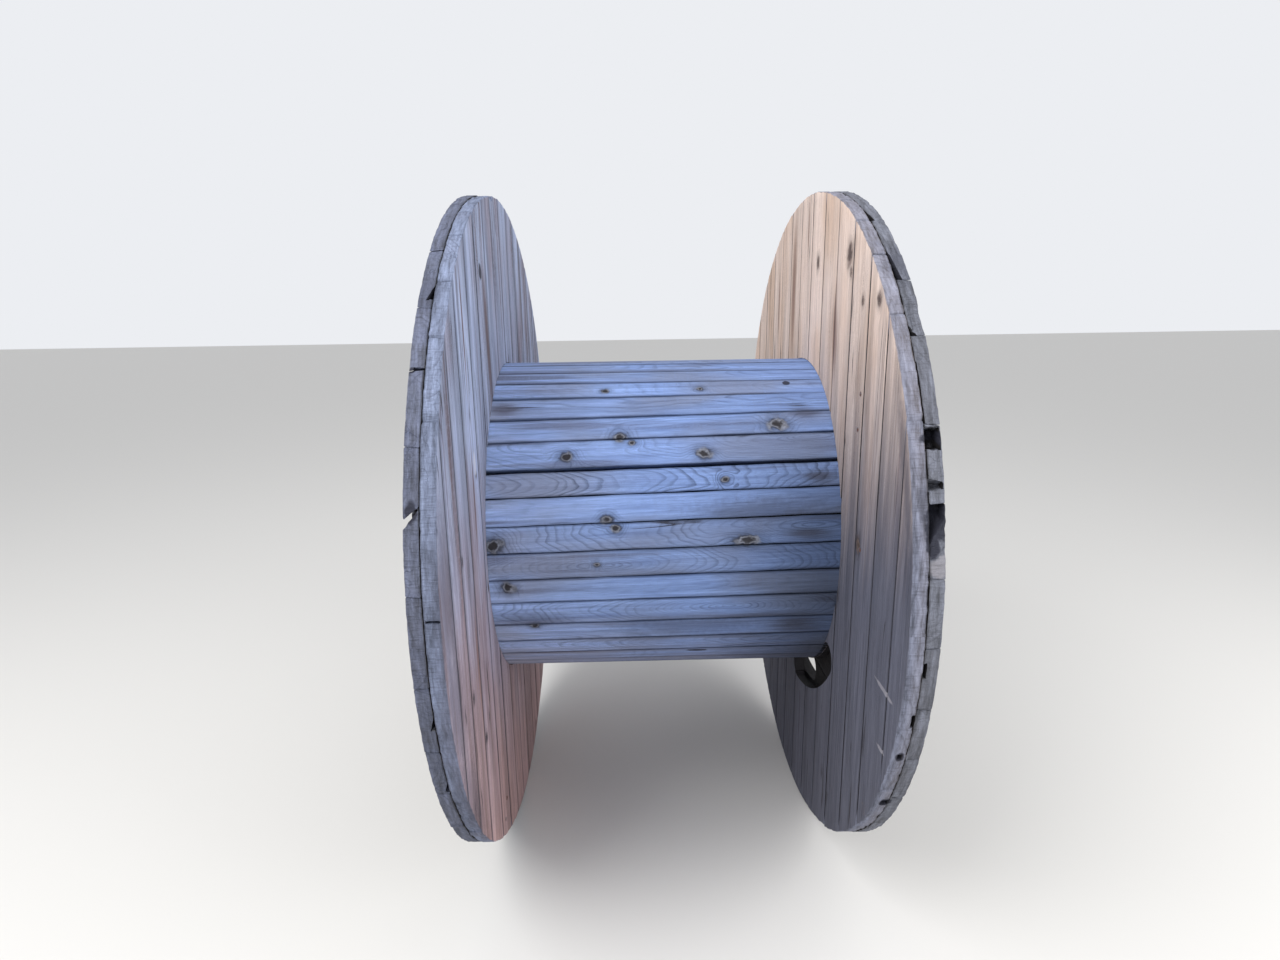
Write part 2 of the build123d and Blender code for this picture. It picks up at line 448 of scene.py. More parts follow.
staveRing = {
    "board": {"thickness": 0.032, "width": 0.066, "length": 0.8894,
              "cutsAcross": 5, "cutsAlong": 26, "easedEdge": 0.0016},
    "faceRadius": 0.449,
    # angles of the joints above the front, at the left and the right end
    "seamsLeft": [-32.8, -24.1, -14.5, -6.4, 2.7, 11.2, 19.9, 28.8, 38.3, 46.6, 56.5, 65.0, 73.1],
    "seamsRight": [-31.1, -22.2, -12.9, -4.0, 4.8, 13.7, 22.5, 31.2, 40.7, 49.4, 57.5, 65.4, 73.0],
    "hiddenStaves": 29, "seed": 5,
    "jointWidth": 0.0018, "bevelled": 0.075,  # share of its width that a stave loses on its inner side
    "wideJoint": 6, "wideBy": 0.006,
    "cup": (-0.0012, 0.0006), "sunk": 0.0012, "rubbed": 0.0008,  # the most for a stave
    "wood": {"pithSide": 0.03, "pithDepth": (0.020, 0.085), "lean": 0.16},
    # staves with a strong figure: their pith sideways and deep, their lean and how strong
    "figured": {
        1: (0.004, -0.016, -0.20, 0.7), 3: (-0.004, -0.014, 0.20, 0.7), 4: (0.010, -0.045, -0.17, 0.8),
        5: (0.012, -0.06, 0.03, 0.4), 6: (0.002, -0.070, 0.15, 1.25),
    },
}


def setStaves(ring):
    rng = random.Random(ring["seed"])
    left, right = list(ring["seamsLeft"]), list(ring["seamsRight"])
    for seams in (left, right):
        first, last = seams[0], seams[-1]
        step = (first + 360 - last) / ring["hiddenStaves"]
        seams += [last + step * number for number in range(1, ring["hiddenStaves"] + 1)]
    template = sawnBoard("staveBoard", ring["board"])
    thickness, length = ring["board"]["thickness"], ring["board"]["length"]
    staves, places, grown, toEdge = [], [], [], []
    for number in range(len(left) - 1):
        half = math.radians(left[number + 1] - left[number] + right[number + 1] - right[number]) / 4
        width = 2 * ring["faceRadius"] * math.tan(half) - ring["jointWidth"] * rng.uniform(0.5, 1.5)
        if number == ring["wideJoint"]:
            width -= ring["wideBy"]
        stave, points = fitBoard(template, ring["board"], thickness, width)
        through, across, along = points.T.copy()
        seed = rng.random() * 9
        cup, low = rng.uniform(*ring["cup"]), rng.uniform(0, ring["sunk"])
        share = along / length + 0.5
        turnLeft, turnRight = ((seams[number] + seams[number + 1]) / 2 for seams in (left, right))
        middle = np.radians(turnLeft * (1 - share) + turnRight * share)
        outward = ring["faceRadius"] - thickness / 2 + through - low * (through > 0)
        outward += cup * (1 - (2 * across / width) ** 2) * (through > 0)
        edgeness = np.abs(2 * across / width) ** 6
        sideways = across * (1 - ring["bevelled"] * (0.5 - through / thickness))
        sideways -= np.sign(across) * edgeness * ring["rubbed"] * (1 + wave(along, 0.29, seed))
        if number == ring["wideJoint"]:
            sideways -= ring["wideBy"] / 2
        writePoints(stave, np.stack([
            along, -outward * np.cos(middle) + sideways * np.sin(middle),
            arborHeight + outward * np.sin(middle) + sideways * np.cos(middle)], 1))
        board = growBoard(rng, ring["wood"])
        if number in ring["figured"]:
            board[1:] = ring["figured"][number]
        places.append(np.stack([along, across, through], 1))
        grown.append(np.tile(board, (len(along), 1)))
        toEdge.append(width / 2 - np.abs(across))
        staves.append(stave)
    bpy.data.objects.remove(template, do_unlink=True)
    piece = joinPieces(staves, "barrelStaves")
    faceOutward(piece)
    markGrain(piece, np.concatenate(places), np.concatenate(grown), np.concatenate(toEdge))
    smoothByAngle(piece, 32)
    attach(piece, "root")
    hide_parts("barrel_staves")
    return piece


barrel = setStaves(staveRing)
print("barrel staves set, faces:", len(barrel.data.polygons))

# Tie rods with their plate washers and nuts

fixings = {
    "rod": {"radius": 0.010, "reach": 0.525, "eased": 0.0015},
    "washer": {"width": 0.070, "thickness": 0.006, "corner": 0.004, "eased": 0.0008, "hole": 0.0216},
    "nut": {"acrossFlats": 0.030, "height": 0.016, "hole": 0.0102,
            "turnedRadius": 0.01746, "chamfer": 0.0030},
}


def makeRod(rod):
    piece = drill("tieRods", rod["radius"], 0, 0, -rod["reach"], rod["reach"], 28)
    bevelEdges(piece, lambda a, b: abs(a.x - b.x) < hair, rod["eased"])
    return piece


def makeWasher(washer):
    piece, hole = (
        makePiece(bpy.ops.mesh.primitive_cube_add, name, size=1, scale=(thickness, width, width))
        for name, thickness, width in (("rodWashers", washer["thickness"], washer["width"]),
                                       ("hole", washer["thickness"] * 3, washer["hole"]))
    )
    bevelEdges(piece, lambda a, b: abs(a.x - b.x) > hair, washer["corner"], 4)
    bevelEdges(piece, lambda a, b: abs(a.x - b.x) < hair, washer["eased"], 2)
    cutWith(piece, hole)
    return piece


def makeNut(nut):
    half = nut["height"] / 2
    piece = drill("rodNuts", nut["acrossFlats"] / 2 / math.cos(math.pi / 6), 0, 0, -half, half, 6)
    turned = drill("turned", nut["turnedRadius"], 0, 0, -half - hair, half + hair, 48)
    bevelEdges(turned, lambda a, b: abs(a.x - b.x) < hair, nut["chamfer"], offset_type="ABSOLUTE")
    cutWith(piece, turned, "INTERSECT")
    cutWith(piece, drill("bore", nut["hole"], 0, 0, -nut["height"], nut["height"], 28))
    return piece


def setFixings(piece, node, distances):
    # Copies round the arbor, at one or two places along it
    copies = []
    for distance in distances:
        for angle in rodAngles:
            twin = copyPiece(piece, piece.name)
            turn = Matrix.Rotation(angle, 4, "X")
            twin.data.transform(Matrix.Translation((distance, 0, arborHeight)) @ turn
                                @ Matrix.Translation((0, tieRods["circle"], 0)))
            copies.append(twin)
    name = piece.name
    bpy.data.objects.remove(piece, do_unlink=True)
    joined = joinPieces(copies, name)
    faceOutward(joined)
    smoothByAngle(joined, 28)
    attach(joined, "root")
    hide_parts(node)
    return joined


washerPlace = outerFace + fixings["washer"]["thickness"] / 2
nutPlace = outerFace + fixings["washer"]["thickness"] + fixings["nut"]["height"] / 2
rods = setFixings(makeRod(fixings["rod"]), "tie_rods", (0,))
washers = setFixings(makeWasher(fixings["washer"]), "rod_washers", (-washerPlace, washerPlace))
nuts = setFixings(makeNut(fixings["nut"]), "rod_nuts", (-nutPlace, nutPlace))
print("tie rods set")

# Materials


def linearColour(code):
    channels = [int(code[place:place + 2], 16) / 255 for place in (1, 3, 5)]
    return tuple(c / 12.92 if c <= 0.04045 else ((c + 0.055) / 1.055) ** 2.4 for c in channels) + (1.0,)


def startMaterial(name):
    material = bpy.data.materials.new(name)
    material.use_nodes = True
    return material, partial(addNode, material.node_tree), material.node_tree.nodes["Principled BSDF"]


def fillInputs(node, inputs):
    for name, value in inputs.items():
        if isinstance(value, bpy.types.NodeSocket):
            node.id_data.links.new(value, node.inputs[name])
        else:
            node.inputs[name].default_value = value


def addNode(tree, kind, *inputs, **settings):
    # The kind is the node's type, with its mode after a dot. Inputs go by their names in a
    # dictionary, or by their order among those in use. It gives the first output in use.
    kind, _, mode = kind.partition(".")
    node = tree.nodes.new("ShaderNode" + kind)
    if mode:
        settings[{"Mix": "data_type", "MapRange": "interpolation_type"}.get(kind, "operation")] = mode
    for name, value in settings.items():
        setattr(node, name, value)
    if inputs and isinstance(inputs[0], dict):
        fillInputs(node, inputs[0])
    else:
        places = [place for place, socket in enumerate(node.inputs) if socket.enabled]
        fillInputs(node, dict(zip(places, inputs)))
    return next(output for output in node.outputs if output.enabled)


def nearestMark(add, spot, marks):
    # Distance from the nearest of some oval marks, 1 at its edge: place, turn and half sizes
    nearest = 50.0
    for place, turn, size in marks:
        oval = add("Mapping", spot, place, (math.radians(turn), 0, 0), size, vector_type="TEXTURE")
        far = add("VectorMath.LENGTH", oval)
        nearest = add("Math.MINIMUM", far, nearest)
    return nearest


def weatheredWood(name, look):
    # Sawn softwood left outdoors: silver-grey, matt, with dark late wood standing in
    # lines, fine checks along the grain and dirt in the joints
    material, add, shader = startMaterial(name)
    tint = {part: linearColour(code) for part, code in look.items() if isinstance(code, str)}
    place = add("Attribute", attribute_name="grainPlace").node.outputs["Vector"]
    pith = add("Attribute", attribute_name="boardPith").node.outputs["Vector"]
    traits = add("Attribute", attribute_name="boardTraits").node.outputs["Vector"]
    spot = add("TexCoord").node.outputs["Object"]
    along, across, through = add("SeparateXYZ", place).node.outputs
    pithAcross, pithThrough, lean = add("SeparateXYZ", pith).node.outputs
    seed, figure, toEdge = add("SeparateXYZ", traits).node.outputs
    dice = add("TexWhiteNoise", {"W": seed}, noise_dimensions="1D").node.outputs["Color"]
    boardDice = add("SeparateColor", dice)
    shift = add("VectorMath.MULTIPLY", dice, (31.0, 17.0, 23.0))
    ownPlace = add("VectorMath.ADD", place, shift)

    # Noise drawn out along the grain, by its turns per metre along and across
    noise = {}
    for grain, alongRate, acrossRate, detail, roughness in (
        ("wander", 3.4, 15.0, 2, 0.5), ("ruffle", 16.0, 40.0, 1, 0.5), ("streak", 4.0, 120.0, 4, 0.68),
        ("band", 1.0, look["bandRate"], 3, 0.6), ("fine", 26.0, 420.0, 2, 0.5), ("patch", 4.0, 14.0, 2, 0.5),
        ("stain", 1.6, 26.0, 3, 0.5), ("crack", 1.7, 42.0, 1, 0.5), ("cloud", 2.6, 7.0, 2, 0.5),
    ):
        stretched = add("VectorMath.MULTIPLY", ownPlace, (alongRate, acrossRate, acrossRate))
        noise[grain] = add("TexNoise", {"Vector": stretched, "Scale": 1.0, "Detail": detail,
                                        "Roughness": roughness})

    # Knots: a few strewn at random, one to a cell at most, and the ones at known places
    cellsAlong, cellsAcross = 3.1, 11.0  # to the metre
    cells = add("VectorMath.MULTIPLY", ownPlace, (cellsAlong, cellsAcross, 0.0))
    cell = add("TexVoronoi", {"Vector": cells, "Scale": 1.0, "Randomness": 0.9},
               voronoi_dimensions="2D").node.outputs
    knotPlace = add("VectorMath.MULTIPLY", cell["Position"], (1 / cellsAlong, 1 / cellsAcross, 0.0))
    flatPlace = add("VectorMath.MULTIPLY", ownPlace, (1.0, 1.0, 0.0))
    offset = add("VectorMath.SUBTRACT", flatPlace, knotPlace)
    oval = add("VectorMath.MULTIPLY", offset, (0.72, 1.0, 0.0))
    far = add("VectorMath.LENGTH", oval)
    cellDice = add("SeparateColor", cell["Color"]).node.outputs
    knotSize = add("MapRange", cellDice[1], 0.0, 1.0, 0.006, 0.015)
    rare = add("Math.LESS_THAN", cellDice[0], 1 - look["knots"])
    strewn = add("Math.DIVIDE", far, knotSize)
    strewn = add("Math.MULTIPLY_ADD", rare, 50.0, strewn)
    ratio = add("Math.MINIMUM", nearestMark(add, spot, look["seenKnots"]), strewn)
    ragged = add("TexNoise", {"Vector": spot, "Scale": 75.0, "Detail": 3.0})
    torn = add("TexNoise", {"Vector": spot, "Scale": 38.0, "Detail": 3.0})
    offRound = add("Math.MULTIPLY_ADD", ragged, 0.9, ratio)
    offRound = add("Math.MULTIPLY_ADD", torn, 1.1, offRound)
    knot = add("MapRange.SMOOTHSTEP", offRound, 1.65, 2.35, 1.0, 0.0)
    bark = add("MapRange.SMOOTHSTEP", offRound, 1.62, 1.90)
    barkPart = add("MapRange.SMOOTHSTEP", torn, 0.40, 0.56)
    bark = add("Math.MULTIPLY", bark, barkPart)
    eye = add("MapRange.SMOOTHSTEP", offRound, 1.36, 1.78, 0.94, 0.0)
    push = add("MapRange.SMOOTHERSTEP", ratio, 0.5, 3.4, 1.0, 0.0)
    shadeRound = add("MapRange.SMOOTHSTEP", offRound, 1.8, 3.4, 0.66, 1.0)

    # Growth rings of the trunk that the board was sawn from, some strong and some faint
    leant = add("Math.MULTIPLY_ADD", along, lean, through)
    sideOff = add("Math.SUBTRACT", across, pithAcross)
    depthOff = add("Math.SUBTRACT", leant, pithThrough)
    ringRadius = add("VectorMath.LENGTH", add("CombineXYZ", sideOff, depthOff))
    for cause, reach in (
        (noise["wander"], look["wander"]), (noise["ruffle"], look["ruffle"]), (push, look["knotPush"]),
    ):
        ringRadius = add("Math.MULTIPLY_ADD", cause, reach, ringRadius)
    ring = add("Math.FRACT", add("Math.DIVIDE", ringRadius, look["ringWidth"]))
    lateRise = add("MapRange.SMOOTHSTEP", ring, 0.45, 0.88)
    lateFall = add("MapRange.SMOOTHSTEP", ring, 0.88, 1.0, 1.0, 0.0)
    yearRate = add("Math.MULTIPLY", ringRadius, 60.0)
    year = add("TexNoise", {"W": yearRate, "Scale": 1.0, "Detail": 1.0}, noise_dimensions="1D")
    yearStrength = add("MapRange", year, 0.36, 0.62, 0.15, 1.1)
    lateWood = add("Math.MULTIPLY", lateRise, lateFall)
    lateWood = add("Math.MULTIPLY", lateWood, yearStrength)
    figured = add("Math.MAXIMUM", figure, push)
    lateWood = add("Math.MULTIPLY", lateWood, figured)

    # Checks: dark splits 1 to 2 mm wide along the grain, in patches
    checkLine = add("Math.ABSOLUTE", add("Math.SUBTRACT", noise["crack"], 0.5))
    check = add("MapRange", checkLine, 0.004, 0.020, 1.0, 0.0)
    cracked = add("MapRange.SMOOTHSTEP", noise["patch"], look["checksFrom"], look["checksFrom"] + 0.12)
    check = add("Math.MULTIPLY", check, cracked)

    # Colour: silver fibres 4 to 8 mm wide, drawn coarser than the real 1 mm so that they
    # show, over darker wood, stained in long patches, each board a little different
    base = add("MapRange", noise["streak"], 0.5 - look["fibreSoft"], 0.5 + look["fibreSoft"])
    colour = add("Mix.RGBA", base, tint["shade"], tint["light"])
    warmth = add("MapRange.SMOOTHSTEP", noise["cloud"], 0.42, 0.66, 0.0, look["warmMost"])
    colour = add("Mix.RGBA", warmth, colour, tint["warm"])
    stain = add("MapRange.SMOOTHSTEP", noise["stain"], look["stainFrom"], look["stainFrom"] + 0.13,
                                        0.0, look["stainMost"])
    seen = add("Math.MULTIPLY_ADD", noise["streak"], 1.0, nearestMark(add, spot, look["seenStains"]))
    seen = add("MapRange.SMOOTHSTEP", seen, 0.65, 1.55, 0.85, 0.0)
    stain = add("Math.MAXIMUM", stain, seen)
    colour = add("Mix.RGBA", stain, colour, tint["stain"])

    # Darker near the ground and, on the flanges, towards the front, most of all on the side that faces the
    # other flange: partly real dirt, partly painted shade where less light reaches
    x, y, z = add("SeparateXYZ", spot).node.outputs
    fromMiddle = add("Math.ABSOLUTE", x)
    inside = add("MapRange", fromMiddle, 0.440, 0.455, 1.0, look["lowOutside"])
    tilted = add("Math.MULTIPLY_ADD", y, look["lowTilt"], z)
    uneven = add("Math.MULTIPLY_ADD", noise["band"], 0.35, tilted)
    low = add("MapRange.SMOOTHSTEP", uneven, look["lowFrom"], look["lowTo"], look["lowMost"], 0.0)
    low = add("Math.MULTIPLY", low, inside)
    lowShadeAndDirtColour = add("Mix.RGBA", base, tint["lowShade"], tint["lowLight"])
    colour = add("Mix.RGBA", low, colour, lowShadeAndDirtColour)
    tones = [
        add("MapRange", boardDice, 0.0, 1.0, 1 - look["boardTone"], 1 + look["boardTone"]),
        add("MapRange", lateWood, 0.0, 1.0, 1.0, 1 - look["ringDark"], clamp=False),
        add("MapRange.SMOOTHSTEP", noise["band"], 0.36, 0.60, 1 - look["bandDark"], 1.06),
        add("MapRange", noise["fine"], 0.3, 0.7, 0.87, 1.10),
        add("MapRange.SMOOTHSTEP", toEdge, 0.001, look["dirtWide"], look["dirtTone"], 1.0),
    ]
    # Painted shade: the barrel darkens towards its right end and low down, next to the right flange
    paintedEndShade = add("MapRange.SMOOTHSTEP", x, 0.04, 0.43)
    paintedEndShadeLow = add("MapRange", z, 1.0, 1.25, 1.0, 0.1)
    paintedEndShade = add("Math.MULTIPLY", paintedEndShade, paintedEndShadeLow)
    paintedEndShadeTone = add("MapRange", paintedEndShade, 0.0, 1.0, 1.0, 1 - look["endShadeMost"])
    # Painted light: the barrel's left end is made paler and greyer, lifting the shade that the left flange
    # casts there
    paintedEndLight = add("MapRange", x, -0.43, -0.05, 1.0, 0.0)
    paintedEndLightTone = add("Mix.RGBA", paintedEndLight, (1.0, 1.0, 1.0, 1.0), look["endLightMost"] + (1.0,))
    colour = add("VectorMath.MULTIPLY", colour, paintedEndLightTone)
    tone = shadeRound
    for other in tones + [paintedEndShadeTone]:
        tone = add("Math.MULTIPLY", tone, other)
    colour = add("VectorMath.SCALE", colour, tone)
    knotTone = add("MapRange", ragged, 0.3, 0.7, 0.6, 1.35)
    knotColour = add("VectorMath.SCALE", tint["knot"][:3], knotTone)
    dark = add("Math.MAXIMUM", bark, eye)
    knotColour = add("Mix.RGBA", dark, knotColour, tint["knotEye"])
    # Knots take the same darkening towards the ground, partly painted shade
    knotLow = add("MapRange", low, 0.0, 1.0, 1.0, look["knotLow"])
    knotColour = add("VectorMath.SCALE", knotColour, knotLow)
    colour = add("Mix.RGBA", knot, colour, knotColour)
    colour = add("Mix.RGBA", check, colour, linearColour("#2f2c30"))

    # The sawn rim: greyer, rubbed in streaks round the flange, scored across by the saw.
    # Sides of boards deep in the joints, chips and holes get painted shade, nearly black.
    facing = add("SeparateXYZ", add("TexCoord").node.outputs["Normal"])
    facing = add("Math.ABSOLUTE", facing)
    edgeOn = add("MapRange", facing, 0.25, 0.9, 1.0, 0.0)
    rim = add("Math.MULTIPLY", edgeOn, look["rimMost"])
    upward = add("Math.SUBTRACT", z, arborHeight)
    angle = add("Math.ARCTAN2", upward, y)
    roundRim = add("CombineXYZ", angle, x, seed)
    rubPlace = add("VectorMath.MULTIPLY", roundRim, (13.0, 95.0, 7.0))
    rub = add("TexNoise", {"Vector": rubPlace, "Scale": 1.0, "Detail": 5.0, "Roughness": 0.72})
    sawPlace = add("VectorMath.MULTIPLY", roundRim, (230.0, 34.0, 7.0))
    sawn = add("TexNoise", {"Vector": sawPlace, "Scale": 1.0, "Detail": 2.0})
    scored = add("MapRange", sawn, 0.57, 0.68, 1.0, 0.76)
    endRings = add("MapRange", lateWood, 0.0, 1.0, 1.08, 0.60, clamp=False)
    rimTone = add("MapRange", rub, 0.32, 0.68, 0.38, 1.48)
    outer = add("Math.GREATER_THAN", fromMiddle, layerJoint)
    rimBase = add("Mix.RGBA", outer, tint["rim"], tint["outerRim"])
    rimLow = add("MapRange", z, 0.2, 1.2, look["rimLow"], 1.0)
    for other in (scored, endRings, rimLow, tones[0]):
        rimTone = add("Math.MULTIPLY", rimTone, other)
    rimColour = add("VectorMath.SCALE", rimBase, rimTone)
    reach = add("VectorMath.LENGTH", add("CombineXYZ", y, upward))
    paintedRecessShade = add("MapRange", reach, 0.868, 0.885, 1.0, 0.0)
    colour = add("Mix.RGBA", rim, colour, rimColour)
    paintedRecessShade = add("Math.MULTIPLY", paintedRecessShade, edgeOn)
    # Painted shade: the faces where the two layers meet, seen only through gaps, are made dark
    layerJointShadeFrom = add("MapRange", fromMiddle, layerJoint - 0.0016, layerJoint - 0.0006)
    layerJointShadeTo = add("MapRange", fromMiddle, outerFace - 0.0015, outerFace - 0.0005, 1.0, 0.0)
    paintedLayerJointShade = add("Math.MULTIPLY", layerJointShadeFrom, layerJointShadeTo)
    flat = add("MapRange", facing, 0.6, 0.9)
    paintedLayerJointShade = add("Math.MULTIPLY", paintedLayerJointShade, flat)
    paintedRecessShade = add("Math.MAXIMUM", paintedRecessShade, paintedLayerJointShade)
    paintedRecessShade = add("Math.MULTIPLY", paintedRecessShade, look["recessShadeMost"])
    # Painted shade in the recesses and between the layers, nearly black
    colour = add("Mix.RGBA", paintedRecessShade, colour, linearColour("#131013"))

    # Rotten dark places, pale fresh splinters and scratches, and the dark line between the layers
    raggedEdge = add("Math.MULTIPLY", ragged, 0.8)
    for marks, code, most, soft in (
        (look["seenDamp"], "#3c3e4c", 0.5, 0.5), (look["seenRot"], "#2b2c38", 0.92, 0.0),
        (look["seenPale"], look["pale"], 0.85, 0.0),
    ):
        near = add("Math.ADD", nearestMark(add, spot, marks), raggedEdge)
        near = add("MapRange.SMOOTHSTEP", near, 1.15 - soft, 1.5 + soft, most, 0.0)
        colour = add("Mix.RGBA", near, colour, linearColour(code))
    fromJoint = add("Math.ABSOLUTE", add("Math.SUBTRACT", fromMiddle, layerJoint))
    seamDark = add("MapRange", rub, 0.35, 0.65, 0.35, 0.75)
    seam = add("MapRange", fromJoint, 0.0010, 0.0040, seamDark, 1.0)
    colour = add("VectorMath.SCALE", colour, seam)

    # Relief: the soft early wood has worn away between the lines, and checks are cut in
    height = add("Math.MULTIPLY_ADD", lateWood, -0.5, noise["streak"])
    height = add("Math.MULTIPLY_ADD", noise["fine"], 0.35, height)
    height = add("Math.MULTIPLY_ADD", check, -1.5, height)
    height = add("Math.MULTIPLY_ADD", knot, raggedEdge, height)
    rough = add("Math.ADD", rub, sawn)
    rough = add("Math.MULTIPLY", rough, rim)
    height = add("Math.MULTIPLY_ADD", rough, 2.4, height)
    bump = add("Bump", {"Height": height, "Strength": 0.6, "Distance": 0.0025})
    dullness = add("MapRange", noise["streak"], 0.0, 1.0, look["rough"] - 0.08, look["rough"] + 0.08)
    fillInputs(shader, {"Base Color": colour, "Roughness": dullness, "Normal": bump,
                        "IOR": 1.45, "Specular IOR Level": 0.35})
    return material


def knotMarks(places, stretch):
    # Knots at known places on the drum, with their radii
    return [((x, y, z), 0, tuple(size * part for part in stretch)) for x, y, z, size in places]


softwood = {  # what all the wood shares, as long as a piece doesn't say otherwise
    "fibreSoft": 0.26, "lowTilt": 0.0, "endShadeMost": 0.0, "endLightMost": (1.0, 1.0, 1.0), "knotLow": 0.6,
    "ringWidth": 0.0095, "wander": 0.040, "ruffle": 0.003, "knotPush": 0.02,
    "rough": 0.85, "rimMost": 0.9, "recessShadeMost": 0.98,
}
# Painted light: the staves' grey wood is given the blue cast of the sky in all its colours
skyTintedStaveWood = {
    **softwood,
    "light": "#98b5ee", "shade": "#7087bb", "fibreSoft": 0.22, "warm": "#7d8499", "warmMost": 0.7,
    "stain": "#5b6077", "stainFrom": 0.55, "stainMost": 0.7, "bandRate": 40.0, "bandDark": 0.12,
    "lowShade": "#686b7f", "lowLight": "#9799ae", "lowFrom": 0.65, "lowTo": 0.94, "lowMost": 0.8,
    "lowOutside": 1.0, "endShadeMost": 0.66, "endLightMost": (1.55, 1.42, 1.26), "knotLow": 0.9,
    "boardTone": 0.06, "ringWidth": 0.0046, "ringDark": 0.40, "wander": 0.030, "ruffle": 0.0016,
    "knotPush": 0.014, "checksFrom": 0.64, "dirtWide": 0.006, "dirtTone": 0.62, "knots": 0.05,
    "knot": "#878b98", "knotEye": "#2b282b", "rough": 0.82, "rim": "#8590ad", "outerRim": "#8590ad",
    "rimMost": 0.0, "recessShadeMost": 0.0, "rimLow": 1.0, "pale": "#b8c4e0",
    "seenKnots": knotMarks([
        (0.2933, -0.3232, 1.2112, 0.019), (-0.4154, -0.4466, 0.9433, 0.020),
        (-0.3906, -0.4436, 0.8323, 0.015), (-0.3316, -0.4075, 0.7123, 0.010),
        (0.1518, -0.4072, 1.0885, 0.009), (-0.2381, -0.3749, 1.1465, 0.014),
        (-0.1041, -0.3436, 1.1886, 0.014), (-0.0745, -0.3546, 1.1749, 0.008),
        (0.1033, -0.3742, 1.1477, 0.016), (-0.139, -0.4366, 1.0034, 0.013),
        (-0.1175, -0.4412, 0.9814, 0.011), (0.1081, -0.2202, 1.2910, 0.009),
        (-0.1423, -0.2218, 1.2900, 0.009), (-0.1661, -0.4486, 0.8897, 0.007),
    ], (1.25, 1.0, 1.0)) + [((0.2025, -0.4461, 0.9455), 0, (0.031, 0.02, 0.0135))],
    "seenStains": [
        ((0.385, -0.405, 1.093), 0, (0.055, 0.05, 0.022)),
        ((0.355, -0.447, 0.960), 0, (0.085, 0.05, 0.020)),
        ((0.34, -0.40, 0.700), 0, (0.10, 0.06, 0.05)), ((0.37, -0.30, 1.235), 0, (0.06, 0.04, 0.018)),
        ((-0.40, -0.28, 1.255), 0, (0.05, 0.04, 0.03)),
    ],
    "seenRot": [
        ((0.0927, -0.3293, 0.5953), 0, (0.030, 0.02, 0.006)),
        ((0.3395, -0.2014, 1.301), 0, (0.010, 0.01, 0.006)),
    ],
    "seenDamp": [
        ((0.22, -0.43, 1.017), 0, (0.17, 0.06, 0.026)), ((0.06, -0.40, 0.70), 0, (0.17, 0.08, 0.030)),
        ((-0.345, -0.415, 0.735), 0, (0.10, 0.06, 0.020)),
    ],
    "seenPale": [],
}
# Painted light: the left flange's grey wood carries the blue cast of the sky in its light and shade colours
skyTintedLeftWood = {
    **softwood,
    "light": "#c8d6f4", "shade": "#8e98b8", "warm": "#958d9b", "warmMost": 0.75, "stain": "#66504c",
    "stainFrom": 0.57, "stainMost": 0.75, "bandRate": 17.0, "bandDark": 0.37, "lowShade": "#a67e7a",
    "lowLight": "#ecc4be", "lowFrom": 0.15, "lowTo": 1.45, "lowMost": 0.9, "lowOutside": 0.35,
    "lowTilt": 0.15, "boardTone": 0.10, "ringDark": 0.22, "checksFrom": 0.50, "dirtWide": 0.014,
    "dirtTone": 0.60, "knots": 0.07, "knot": "#6c636a", "knotEye": "#38323a", "rim": "#7c86a0",
    "outerRim": "#60667c", "rimLow": 0.72, "pale": "#d2d6e6",
    "seenKnots": knotMarks([(-0.433, -0.5106, 1.1375, 0.005)], (1.0, 1.0, 1.6)),
    "seenStains": [
        ((-0.433, -0.268, 1.42), 3, (0.03, 0.036, 0.34)),
        ((-0.433, -0.541, 1.462), 1, (0.03, 0.010, 0.20)),
        ((-0.433, -0.545, 1.08), -1, (0.03, 0.012, 0.16)),
        ((-0.433, -0.62, 0.70), 1, (0.03, 0.016, 0.25)),
    ],
    "seenRot": [
        ((-0.433, -0.3102, 1.5914), 0, (0.02, 0.016, 0.022)),
        ((-0.48, -0.86, 1.150), 0, (0.012, 0.03, 0.022)),
        ((-0.489, -0.753, 1.396), 0, (0.007, 0.02, 0.006)),
    ],
    "seenDamp": [
        ((-0.48, -0.63, 1.54), 0, (0.03, 0.06, 0.04)),
        ((-0.433, -0.850, 0.97), -3, (0.03, 0.065, 0.20)),
        ((-0.433, -0.835, 0.73), 11, (0.03, 0.062, 0.17)),
        ((-0.433, -0.770, 0.48), 28, (0.03, 0.055, 0.20)),
    ],
    "seenPale": [((-0.433, -0.5180, 1.1635), 4, (0.02, 0.013, 0.030))],
}
